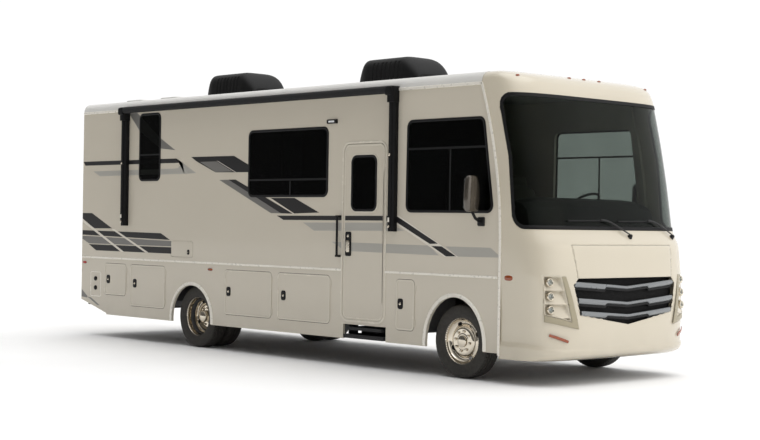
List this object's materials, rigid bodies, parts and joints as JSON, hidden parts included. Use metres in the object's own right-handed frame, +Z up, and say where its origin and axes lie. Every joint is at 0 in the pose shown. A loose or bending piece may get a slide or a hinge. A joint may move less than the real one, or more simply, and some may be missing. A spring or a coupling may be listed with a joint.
{
  "type": "class a motorhome",
  "caption": "Full-size motorhome: hollow coach body on a ladder chassis with twin rear wheels, steered front wheels, side entry door, storage doors, hood, awning and roof air conditioners.",
  "frame": {"origin": "on the ground under the middle of the vehicle's box", "axes": "+X forward, +Y to the left (driver's) side, +Z up"},
  "size_m": [8.9138, 3.106, 3.742],
  "materials": {
    "gelcoat": "gloss",
    "roof_skin": "satin",
    "tinted_glass": "gloss",
    "black_plastic": "satin",
    "white_plastic": "satin",
    "black_paint": "satin",
    "mirror_shell": "satin",
    "dash_plastic": "matte",
    "seat_fabric": "woven",
    "chrome": "polished",
    "red_lens": "gloss",
    "frame_steel": "satin",
    "galvanised": "matte",
    "underbody": "matte",
    "cast": "cast",
    "tyre_rubber": "matte"
  },
  "bodies": {
    "body_and_chassis": {"chassis_frame": "frame_steel", "engine": "cast", "floor": "underbody", "side_wall_right": "gelcoat", "side_wall_left": "gelcoat", "skirt_right": "gelcoat", "skirt_left": "gelcoat", "rear_wall": "gelcoat", "roof": "roof_skin", "front_cap": "gelcoat", "windshield": "tinted_glass", "side_windows": "tinted_glass", "grille": "black_plastic", "headlamps": "chrome", "tail_lamps": "red_lens", "rear_bumper": "black_plastic", "hitch_receiver": "frame_steel", "awning": "black_paint", "air_conditioners": "black_plastic", "roof_vents": "white_plastic", "grab_handle": "black_plastic", "entry_steps": "frame_steel", "mirrors": "mirror_shell", "wipers": "black_plastic", "dashboard": "dash_plastic", "cab_seats": "seat_fabric", "front_axle": "frame_steel", "rear_axle": "frame_steel", "fuel_tank": "frame_steel", "storage_bays": "galvanised"},
    "entry_door": {"entry_door": "gelcoat", "entry_door_window": "tinted_glass"},
    "storage_door_right_1": {"storage_door_right_1": "gelcoat"},
    "storage_door_right_2": {"storage_door_right_2": "gelcoat"},
    "storage_door_right_3": {"storage_door_right_3": "gelcoat"},
    "storage_door_right_4": {"storage_door_right_4": "gelcoat"},
    "storage_door_right_5": {"storage_door_right_5": "gelcoat"},
    "storage_door_left_1": {"storage_door_left_1": "gelcoat"},
    "storage_door_left_2": {"storage_door_left_2": "gelcoat"},
    "storage_door_left_3": {"storage_door_left_3": "gelcoat"},
    "utility_hatch": {"utility_hatch": "gelcoat"},
    "hood": {"hood": "gelcoat"},
    "knuckle_right": {"knuckle_right": "frame_steel"},
    "knuckle_left": {"knuckle_left": "frame_steel"},
    "front_wheel_right": {"front_tyre_right": "tyre_rubber", "front_rim_right": "chrome"},
    "front_wheel_left": {"front_tyre_left": "tyre_rubber", "front_rim_left": "chrome"},
    "rear_wheels_right": {"rear_tyres_right": "tyre_rubber", "rear_rims_right": "chrome"},
    "rear_wheels_left": {"rear_tyres_left": "tyre_rubber", "rear_rims_left": "chrome"},
    "steering_wheel": {"steering_wheel": "dash_plastic"}
  },
  "joints": [
    {"name": "entry_door_hinge", "type": "hinge", "parent": "body_and_chassis", "child": "entry_door", "pos_m": [1.9475, -1.2885, 1.5], "axis": [0, 0, 1], "range_deg": [0, 95]},
    {"name": "storage_door_right_1_hinge", "type": "hinge", "parent": "body_and_chassis", "child": "storage_door_right_1", "pos_m": [-3.2975, -1.2885, 0.825], "axis": [0, 0, 1], "range_deg": [0, 100]},
    {"name": "storage_door_right_2_hinge", "type": "hinge", "parent": "body_and_chassis", "child": "storage_door_right_2", "pos_m": [-2.3575, -1.2885, 0.76], "axis": [0, 0, 1], "range_deg": [0, 100]},
    {"name": "storage_door_right_3_hinge", "type": "hinge", "parent": "body_and_chassis", "child": "storage_door_right_3", "pos_m": [-0.0775, -1.2885, 0.76], "axis": [0, 0, 1], "range_deg": [0, 100]},
    {"name": "storage_door_right_4_hinge", "type": "hinge", "parent": "body_and_chassis", "child": "storage_door_right_4", "pos_m": [1.0225, -1.2885, 0.76], "axis": [0, 0, 1], "range_deg": [0, 100]},
    {"name": "storage_door_right_5_hinge", "type": "hinge", "parent": "body_and_chassis", "child": "storage_door_right_5", "pos_m": [2.4545, -1.2885, 0.76], "axis": [0, 0, 1], "range_deg": [0, 100]},
    {"name": "storage_door_left_1_hinge", "type": "hinge", "parent": "body_and_chassis", "child": "storage_door_left_1", "pos_m": [-2.3575, 1.2885, 0.825], "axis": [0, 0, -1], "range_deg": [0, 100]},
    {"name": "storage_door_left_2_hinge", "type": "hinge", "parent": "body_and_chassis", "child": "storage_door_left_2", "pos_m": [-0.0775, 1.2885, 0.76], "axis": [0, 0, -1], "range_deg": [0, 100]},
    {"name": "storage_door_left_3_hinge", "type": "hinge", "parent": "body_and_chassis", "child": "storage_door_left_3", "pos_m": [1.0225, 1.2885, 0.76], "axis": [0, 0, -1], "range_deg": [0, 100]},
    {"name": "utility_hatch_hinge", "type": "hinge", "parent": "body_and_chassis", "child": "utility_hatch", "pos_m": [-1.9875, -1.2885, 1.39], "axis": [-1, 0, 0], "range_deg": [0, 90]},
    {"name": "hood_hinge", "type": "hinge", "parent": "body_and_chassis", "child": "hood", "pos_m": [4.3455, 0, 1.366], "axis": [0, -1, 0], "range_deg": [0, 60]},
    {"name": "steering_left", "type": "hinge", "parent": "body_and_chassis", "child": "knuckle_left", "pos_m": [3.1125, 0.9505, 0.405], "axis": [0, 0, 1], "range_deg": [-35, 35]},
    {"name": "steering_right", "type": "hinge", "parent": "body_and_chassis", "child": "knuckle_right", "pos_m": [3.1125, -0.9505, 0.405], "axis": [0, 0, 1], "range_deg": [-35, 35]},
    {"name": "front_wheel_left_spin", "type": "hinge", "parent": "knuckle_left", "child": "front_wheel_left", "pos_m": [3.1125, 1.1105, 0.405], "axis": [0, 1, 0], "continuous": true},
    {"name": "front_wheel_right_spin", "type": "hinge", "parent": "knuckle_right", "child": "front_wheel_right", "pos_m": [3.1125, -1.1105, 0.405], "axis": [0, 1, 0], "continuous": true},
    {"name": "rear_wheels_left_spin", "type": "hinge", "parent": "body_and_chassis", "child": "rear_wheels_left", "pos_m": [-1.7135, 1.1105, 0.405], "axis": [0, 1, 0], "continuous": true},
    {"name": "rear_wheels_right_spin", "type": "hinge", "parent": "body_and_chassis", "child": "rear_wheels_right", "pos_m": [-1.7135, -1.1105, 0.405], "axis": [0, 1, 0], "continuous": true},
    {"name": "steering_wheel_turn", "type": "hinge", "parent": "body_and_chassis", "child": "steering_wheel", "pos_m": [3.3325, 0.55, 1.93], "axis": [-0.5736, 0, 0.8192], "range_deg": [-630, 630]}
  ],
  "couplings": [
    {"joint": "steering_left", "follows": "steering_wheel_turn", "ratio": 0.055556},
    {"joint": "steering_right", "follows": "steering_wheel_turn", "ratio": 0.055556}
  ]
}
